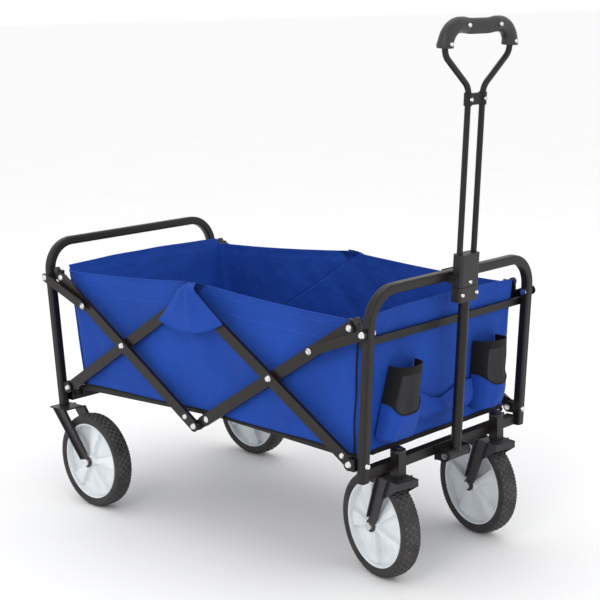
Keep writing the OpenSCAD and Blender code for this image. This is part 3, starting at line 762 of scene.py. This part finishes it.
def rest_on_frame(o):
    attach(o, "rear_frame")
    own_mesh(o)


def make_side(sign):
    tag = "left" if sign > 0 else "right"
    nu, nv = 170, 54
    verts, faces = grid(nu, nv, lambda u, v: side_point(u, v, sign))
    sheet = cloth(f"{tag}_side_full", verts, faces, blue)
    line = [side_point(u / 200, 1, sign) + Vector((0, 0, -0.5 * MM)) for u in range(0, 201)]
    rim = tube("rim", line, 1.5, blue, 8)
    hem = [side_point(u / 240, 0.94, sign) + Vector((0, sign * 0.1 * MM, 0)) for u in range(4, 232)]
    hem_row = stitches("hem_row", hem, thread_mat, (0, sign, 0))
    seam = []
    for u in range(4, 220):
        x = lerp(-395, 395, u / 220)
        z = top_at(x) - 44
        seam.append(P(x, sign * (side_y(x, z) + 0.1), z))
    seam_row = stitches("seam_row", seam, thread_mat, (0, sign, 0))
    low = [side_point(u / 160, 0, sign) + Vector((0, sign * 0.2 * MM, -1.2 * MM)) for u in range(161)]
    pipe = tube("pipe", low, 2.1, binding, 8)
    bind = join(f"{tag}_all", [sheet, rim, hem_row, seam_row, pipe])
    rise, fall = (math.cos(RISE), math.sin(RISE)), (math.cos(RISE), -math.sin(RISE))
    rear, front = (-CROSS_X, CROSS_Z), (CROSS_X, CROSS_Z)
    # each piece lies between two bars, so its edges hide behind them
    regions = {
        "rear": ([(rear, fall, False), (rear, rise, True)], None),
        "rear_top": ([(rear, rise, True), (rear, fall, True)],
                     ("rear_upper_bars", "rear_lower_bars", (-CROSS_X - 110, 470), (-CROSS_X + 110, 470))),
        "rear_low": ([(rear, rise, False), (rear, fall, False)],
                     ("rear_lower_bars", "rear_upper_bars", (-CROSS_X - 90, 270), (-CROSS_X + 90, 270))),
        "middle": ([(rear, fall, True), (rear, rise, False), (front, fall, False), (front, rise, True)],
                   ("rear_lower_bars", "front_lower_bars", (-95, 380), (95, 380))),
        "front_top": ([(front, fall, True), (front, rise, True)],
                      ("front_lower_bars", "front_upper_bars", (CROSS_X - 110, 470), (CROSS_X + 110, 470))),
        "front_low": ([(front, fall, False), (front, rise, False)],
                      ("front_upper_bars", "front_lower_bars", (CROSS_X - 90, 270), (CROSS_X + 90, 270))),
        "front": ([(front, fall, True), (front, rise, False)], None),
    }
    for part, (cuts, move) in regions.items():
        o = copy_of(bind, f"{tag}_side_{part}")
        for (px, pz), (dx, dz), left in cuts:
            cut(o, px, pz, dx, dz, left)
        if not o.data.vertices:
            continue
        if move:
            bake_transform(o)
        elif part == "rear":
            rest_on_frame(o)
        else:
            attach(o, "front_frame")
        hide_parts(f"{tag}_bag_panel")
    bpy.data.objects.remove(bind)


for sign in (-1, 1):
    make_side(sign)


def end_point(u, v, rear):
    """An end panel across the wagon; u runs from the right side to the left."""
    edge = abs(2 * u - 1)
    z = lerp(BAG_LOW + 1, 508 + 5 * (1 - edge ** 2), v)
    y = (2 * u - 1) * (213 if rear else corner_y(z))
    swell = math.sin(math.pi * v) * (1 - edge ** 3)
    folds = 3.4 * noise.noise(Vector((y * 0.016, z * 0.005, 9.0 if rear else 3.0)))
    hem = 0.9 * smooth((v - 0.925) / 0.01)
    if rear:
        y *= 1.0 + 0.014 * (1 - v)
        x = lerp(REAR_LOW, REAR_HIGH, v) + 3 - (3.0 * swell + folds + hem)
        return P(x, y, z)
    x = leg_at(z) - TUBE / 2 - 8.8 + 1.2 * swell + min(1.2, folds) + hem
    return P(x, y, z)


def make_end(rear):
    tag = "rear" if rear else "front"
    verts, faces = grid(90, 46, lambda u, v: end_point(u, v, rear))
    sheet = cloth(f"{tag}_end", verts, faces, blue)
    out = (-1, 0, 0) if rear else (1, 0, 0)
    shift = Vector(out) * (0.15 * MM)
    top = [end_point(u / 80, 1, rear) + Vector((0, 0, -0.6 * MM)) for u in range(81)]
    rim = tube("rim", top, 1.5, blue, 8)
    row = stitches("row", [end_point(u / 160, 0.93, rear) + shift for u in range(2, 159)], thread_mat, out)
    low = [end_point(u / 80, 0, rear) + Vector((0, 0, -1.0 * MM)) for u in range(81)]
    band = sweep("band", low, lambda i: [(-2.4, -4), (2.4, -4), (2.4, 4.5), (-2.4, 4.5)], binding)
    o = join(f"{tag}_end_panel", [sheet, rim, row, band])
    if rear:
        rest_on_frame(o)
    else:
        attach(o, "front_frame")
    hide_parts(f"{tag}_bag_panel")


make_end(True)
make_end(False)

# vertical corner piping beside the front legs
for sign in (-1, 1):
    tag = "left" if sign > 0 else "right"
    line = []
    for k in range(61):
        p = side_point(0.945, k / 60, sign)
        line.append(p + Vector((0, sign * 1.0 * MM, 0)) + Vector((0.8 * MM * math.sin(k / 4), 0, 0)))
    pipe = tube(f"{tag}_corner_piping", line, 1.7, binding, 8)
    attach(pipe, "front_frame")


# ---------- floor: covered boards and the fabric between them ----------
def make_board(which, sign):
    pivot = Vector(joints[f"{which}_floor_hinge"]["pos_m"])
    nu, nv = 60, 40
    long, wide = 343.0, 199.0

    def point(u, v):
        s = 25 + long * u
        y = lerp(-wide, wide, v)
        edge = min(u, 1 - u) * long
        side = min(v, 1 - v) * 2 * wide
        puff = 1.2 * smooth(edge / 8) * smooth(side / 8)
        crease = 0.7 * noise.noise(Vector((s * 0.02, y * 0.02, 4.0)))
        groove_depth = 0.9 * (1 - smooth(abs(edge - 14) / 1.5)) + 0.9 * (1 - smooth(abs(side - 14) / 1.5))
        n = 4.2 + puff + crease * smooth(edge / 10) * smooth(side / 10) - min(0.9, groove_depth)
        a = math.atan2(15, LOW_X - 2.4)
        return Vector((pivot.x - sign * (s * math.cos(a) + n * math.sin(a)) * MM,
                       y * MM, pivot.z + (s * math.sin(a) + n * math.cos(a)) * MM))
    verts, faces = grid(nu, nv, point)
    top = cloth(f"{which}_board_cover", verts, faces, navy, 5.2)
    ring = []
    for k in range(4):
        for j in range(30):
            t = j / 30
            u, v = ((t, 0), (1, t), (1 - t, 1), (0, 1 - t))[k]
            u, v = lerp(14 / long, 1 - 14 / long, u), lerp(7 / wide, 1 - 7 / wide, v)
            ring.append(point(u, v) + Vector((0, 0, 0.2 * MM)))
    row = stitches("row", ring + ring[:1], dark_thread, (0, 0, 1))
    o = join(f"{which}_board", [top, row])
    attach(o, f"{which}_floor")
    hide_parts(f"{which}_floor_board")


make_board("rear", -1)
make_board("front", 1)


def make_floor_fabric():
    """The bag's bottom: it lies on the rods round the boards and bridges between them."""
    def point(u, v):
        x = lerp(REAR_LOW + 4, leg_at(BAG_LOW) - TUBE / 2 - 9.5, u)
        y = (2 * v - 1) * lerp(SIDE_Y - 4, 190, smooth((x - FRONT_LOW + 12) / 24))
        edge = abs(2 * v - 1)
        lift = bottom_at(x) + 1.2
        dip = -2.6 * (1 - edge ** 4) + 0.8 * noise.noise(Vector((x * 0.02, y * 0.02, 1.0)))
        return P(x, y, lift + dip - 3.0)
    verts, faces = grid(100, 50, point)
    o = cloth("floor_fabric", verts, faces, navy, 1.0)
    rest_on_frame(o)
    return o


make_floor_fabric()


# ---------- fan flaps over the top joints ----------
def flap_point(u, v, sign):
    """u runs from the flap's rear edge to its front edge, v from the hem down to the rim."""
    spread = math.radians(lerp(-45, 54, u))
    reach = v * (94 + 22 * (2 * u - 1) ** 2) + 2
    x = 14 * (u - 0.5) * (1 - v) + reach * math.sin(spread)
    drop = reach * math.cos(spread) * 0.97
    z = 521 - drop
    belly = 1 - (1 - min(1.0, reach / 24.0)) ** 2
    y = 227 + 22.5 * belly
    y += 1.8 * math.sin(4.6 * spread + 0.6) * v + 2.2 * math.sin(9 * spread) * (1 - v) * v * 3
    y -= 3.5 * (abs(spread) / 0.87) ** 3 * (1 - 0.35 * v)
    y += 0.9 * smooth((v - 0.93) / 0.012)
    return P(x + 3 * v, sign * y, z)


def make_flap(sign):
    tag = "left" if sign > 0 else "right"
    verts, faces = grid(64, 44, lambda u, v: flap_point(u, v, sign))
    sheet = cloth(f"{tag}_flap_sheet", verts, faces, blue, 1.4)
    edge = [flap_point(u / 60, 1, sign) for u in range(61)]
    rim = tube("rim", edge, 1.5, blue, 8)
    line = [flap_point(u / 120, 0.925, sign) + Vector((0, sign * 0.2 * MM, 0)) for u in range(2, 119)]
    row = stitches("row", line, thread_mat, (0, sign, 0))
    o = join(f"{tag}_joint_flap", [sheet, rim, row])
    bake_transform(o)
    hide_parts("joint_flaps")


for sign in (-1, 1):
    make_flap(sign)


# ---------- cup pockets ----------
POCKET_LOW, POCKET_SEAM, POCKET_TOP = 281.0, 322.0, 408.0



def panel_x(z):
    return leg_at(z) - TUBE / 2 - 6.0


def pocket_point(u, z, sign, bulge=0.0, seed=0.0):
    """Round the pouch from its outer seam (u = 0) to its inner one, at a height."""
    v = min(1.0, max(0.0, (z - POCKET_LOW) / (POCKET_TOP - POCKET_LOW)))
    a = math.pi * u
    c, s = math.cos(a), math.sin(a)
    inner, outer = lerp(100, 97, v), lerp(187 if sign < 0 else 168, 158, v)
    inner -= 12 * (1 - s)
    y = (inner + outer + (outer - inner) * math.copysign(abs(c) ** 0.6, c)) / 2
    deep = lerp(30, 38, v) + bulge * math.sin(math.pi * min(1.0, v * 2.0))
    fold = 3.2 * noise.noise(Vector((u * 5, v * 3, seed))) * s
    fold += 1.1 * math.sin(9 * a + seed) * s * (1 - v) ** 2
    return P(panel_x(z) + 0.6 + deep * s ** 0.62 + fold, sign * y, z)


def mesh_net(name, fn, nu, nv, r=0.55):
    """A knitted net as crossing flat cords over a surface."""
    verts, faces = [], []

    def cord(points):
        base = len(verts)
        for i, p in enumerate(points):
            a, b = points[max(0, i - 1)], points[min(len(points) - 1, i + 1)]
            d = (b - a).normalized()
            out = Vector((1, 0, 0))
            side = d.cross(out)
            side = side.normalized() if side.length > 1e-4 else Vector((0, 0, 1))
            n = side.cross(d)
            for s, t in ((-1, 0), (0, 0.7), (1, 0), (0, -0.7)):
                verts.append(p + side * (s * r * MM) + n * (t * r * MM))
        for i in range(len(points) - 1):
            for k in range(4):
                q = base + i * 4
                faces.append((q + k, q + (k + 1) % 4, q + 4 + (k + 1) % 4, q + 4 + k))
    for s in (-1, 1):
        for k in range(-nv, nu + nv + 1):
            points = []
            for j in range(nv + 1):
                i = k + s * j
                if 0 <= i <= nu:
                    points.append(fn(i / nu, j / nv))
            if len(points) > 1:
                cord(points)
    mesh = bpy.data.meshes.new(name)
    mesh.from_pydata([tuple(v) for v in verts], [], faces)
    mesh.materials.append(mesh_cord)
    mesh.polygons.foreach_set("use_smooth", [True] * len(mesh.polygons))
    o = bpy.data.objects.new(name, mesh)
    bpy.context.scene.collection.objects.link(o)
    return o


def make_pocket(sign):
    tag = "left" if sign > 0 else "right"
    seed = 5.0 + sign
    band_low = POCKET_TOP - 15

    def seam_z(u):
        return POCKET_SEAM + 22 * abs(math.cos(math.pi * u)) ** 2.2

    def base(u, v):
        return pocket_point(u, lerp(POCKET_LOW, seam_z(u), v), sign, 6, seed)

    def upper(u, v):
        return pocket_point(u, lerp(seam_z(u), band_low, v), sign, 6, seed)

    def band(u, v):
        return pocket_point(u, lerp(band_low, POCKET_TOP, v), sign, 6, seed) + Vector((0.5 * MM, 0, 0))

    def bottom(u, v):
        p = base(u, 0)
        q = p.lerp(P(panel_x(POCKET_LOW) + 2, sign * 116, POCKET_LOW), v)
        q.z -= (2.0 + 7.0 * math.sin(math.pi * min(1.0, v + 0.25))) * MM * min(1.0, v * 6)
        return q

    parts = [cloth("base", *grid(70, 26, base), blue, 1.3),
             cloth("bottom", *grid(70, 10, bottom), blue, 1.2)]
    # black side gussets with the knitted net between them
    parts.append(mesh_net("net", lambda u, v: upper(lerp(0.25, 0.75, u), v), 64, 44))
    for lo, hi in ((0.0, 0.26), (0.74, 1.0)):
        parts.append(cloth("gusset", *grid(24, 24, lambda u, v: upper(lerp(lo, hi, u), v)), binding, 1.2))
    parts.append(cloth("elastic", *grid(70, 7, band), binding, 1.8))
    seam = [base(u / 90, 1) + Vector((0.6 * MM, 0, 0)) for u in range(91)]
    parts.append(tube("seam", seam, 1.4, binding, 8))
    parts.append(stitches("row", [band(u / 120, 0.5) + Vector((0.3 * MM, 0, 0)) for u in range(8, 113)],
                          mesh_cord, (1, 0, 0)))
    o = join(f"{tag}_pocket", parts)
    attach(o, "front_frame")
    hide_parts(f"{tag}_cup_pocket")


for sign in (-1, 1):
    make_pocket(sign)


def web_point(u, v):
    """The slack strip of the pockets' base cloth between the two pockets."""
    y = lerp(-104, 104, u)
    z = lerp(283, 338 - 16 * math.sin(math.pi * u) ** 2 + 5 * math.sin(11 * u), v)
    slack = 15 * math.sin(math.pi * min(1.0, 0.12 + 0.8 * v))
    slack *= 0.35 + 0.65 * math.sin(math.pi * u) ** 0.5
    crumple = 5 * noise.noise(Vector((y * 0.03, z * 0.02, 8.0))) + 2.5 * math.sin(y / 9.0 + z / 14.0)
    sewn = smooth(v * 4) * smooth(min(u, 1 - u) * 9) * (1 - 0.45 * v)
    return P(panel_x(z) + 1.4 + (slack + crumple * 0.7) * sewn, y, z)


web = join("pocket_web", [cloth("web", *grid(90, 24, web_point), blue, 1.2),
                          tube("web_edge", [web_point(k / 90, 1) for k in range(91)], 1.2, blue, 8)])
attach(web, "front_frame")


# ---------- sheets ----------
def declare(o):
    """Works out a sheet's flat size and area from the modelled sheet itself; nothing is kept."""
    faces = [f for f in o.data.polygons if o.data.materials[f.material_index] in (blue, navy, binding)]
    used = {i for f in faces for i in f.vertices}
    spans = [max(o.data.vertices[i].co[k] for i in used) - min(o.data.vertices[i].co[k] for i in used)
             for k in range(3)]
    thin = 2 if "floor" in o.name else (1 if spans[1] < 0.1 else 0)
    width, length = (spans[k] for k in range(3) if k != thin)
    area = sum(f.area for f in faces) / 2
    area = min(width * length, max(0.3 * width * length, area))


side_rests = {"rear": "rear_frame_tube", "front": "front_frame_tube", "rear_top": "rear_upper_bars",
              "rear_low": "rear_lower_bars", "middle": "front_lower_bars", "front_top": "front_upper_bars",
              "front_low": "front_lower_bars"}
for tag in ("left", "right"):
    for part, held_by in side_rests.items():
        declare(bpy.data.objects[f"{tag}_side_{part}"])
    declare(bpy.data.objects[f"{tag}_joint_flap"])
declare(web)
declare(bpy.data.objects["rear_end_panel"])
declare(bpy.data.objects["front_end_panel"])
declare(bpy.data.objects["floor_fabric"])


# ---------- stage ----------
def make_floor_material():
    m = Nodes("pale_floor")
    soft = m.noise(3, 2)
    return m.finish(Base_Color=m.mix(m.ramp(soft, 0, 1), (0.95, 0.95, 0.95, 1), (0.965, 0.965, 0.965, 1)),
                    Roughness=0.85)


floor_mesh = bpy.data.meshes.new("studio_floor")
floor_mesh.from_pydata([(-400, -400, 0), (400, -400, 0), (400, 400, 0), (-400, 400, 0)], [], [(0, 1, 2, 3)])
floor_mesh.materials.append(make_floor_material())
studio_floor = bpy.data.objects.new("studio_floor", floor_mesh)
bpy.context.scene.collection.objects.link(studio_floor)

world = bpy.data.worlds.new("studio")
world.use_nodes = True
world.node_tree.nodes["Background"].inputs["Color"].default_value = (1, 1, 1, 1)
world.node_tree.nodes["Background"].inputs["Strength"].default_value = 1.0
bpy.context.scene.world = world
bpy.context.scene.view_settings.view_transform = "Standard"


def area_light(name, place, target, size, watts):
    data = bpy.data.lights.new(name, "AREA")
    data.size = size
    data.energy = watts
    o = bpy.data.objects.new(name, data)
    bpy.context.scene.collection.objects.link(o)
    o.location = place
    o.rotation_mode = "QUATERNION"
    o.rotation_quaternion = (Vector(target) - Vector(place)).to_track_quat("-Z", "Y")


area_light("key", (1.2, -3.2, 2.6), (0, 0, 0.35), 1.6, 24)
area_light("fill", (3.4, 0.6, 2.0), (0, 0, 0.4), 2.2, 8)
area_light("top", (-0.6, 0.4, 3.6), (0, 0, 0.3), 2.4, 14)
